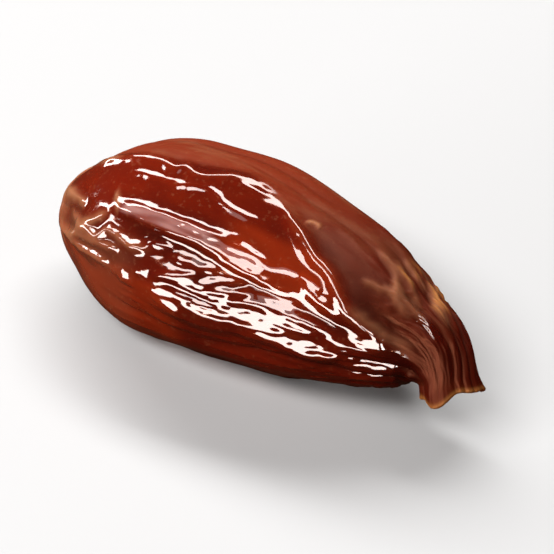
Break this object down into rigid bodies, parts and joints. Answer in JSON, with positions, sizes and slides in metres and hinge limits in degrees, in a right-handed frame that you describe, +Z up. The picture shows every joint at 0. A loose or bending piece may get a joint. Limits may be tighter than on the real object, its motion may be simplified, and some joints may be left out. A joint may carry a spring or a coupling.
{
  "type": "dried date",
  "caption": "Pitted dried date: a glossy, wrinkled, elongated fruit with a blunt end, a gathered neck and a short flared stem collar, lying on its side.",
  "frame": {"origin": "under the middle of the fruit, on the surface that it lies on", "axes": "+X along the fruit towards its stem collar, +Y towards its back, +Z up"},
  "size_m": [0.041, 0.019, 0.0166],
  "materials": {
    "skin": "glossy, wet-looking dark red-brown fruit skin"
  },
  "bodies": {
    "root": {"date": "skin"}
  },
  "joints": []
}
